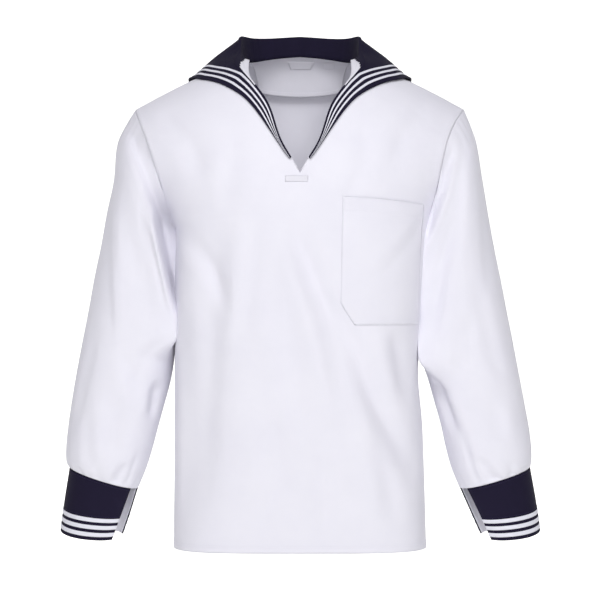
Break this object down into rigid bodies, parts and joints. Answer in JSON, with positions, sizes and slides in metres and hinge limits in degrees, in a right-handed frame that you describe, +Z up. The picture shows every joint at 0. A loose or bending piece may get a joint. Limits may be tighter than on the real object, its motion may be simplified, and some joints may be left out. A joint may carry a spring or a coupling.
{
  "type": "sailor jumper",
  "caption": "Pullover sailor jumper in white cotton, worn hollow form, V neck, navy sailor collar with back flap, navy open cuffs, white tape stripes, breast pocket",
  "frame": {"origin": "the holding point between the shoulders, level with the top of the shoulder seams at the neck", "axes": "+Z up, -Y is the front of the garment, +X is the wearer's left"},
  "size_m": [0.6722, 0.24, 0.7182],
  "materials": {
    "white_cotton": "woven, matt",
    "facing_cotton": "woven, matt",
    "navy_cotton": "woven, matt",
    "white_tape": "woven tape, slight sheen",
    "woven_label": "smooth woven label"
  },
  "bodies": {
    "root": {"front": "white_cotton", "back": "white_cotton", "sleeve_left": "white_cotton", "sleeve_right": "white_cotton", "breast_pocket": "white_cotton", "back_neck_facing": "facing_cotton", "collar": "navy_cotton", "collar_tape_1": "white_tape", "collar_tape_2": "white_tape", "collar_tape_3": "white_tape", "cuff_left": "navy_cotton", "cuff_facing_left": "facing_cotton", "cuff_tape_left_1": "white_tape", "cuff_tape_left_2": "white_tape", "cuff_tape_left_3": "white_tape", "cuff_right": "navy_cotton", "cuff_facing_right": "facing_cotton", "cuff_tape_right_1": "white_tape", "cuff_tape_right_2": "white_tape", "cuff_tape_right_3": "white_tape", "neck_label": "woven_label", "size_label": "woven_label", "front_tab": "woven_label"}
  },
  "joints": []
}
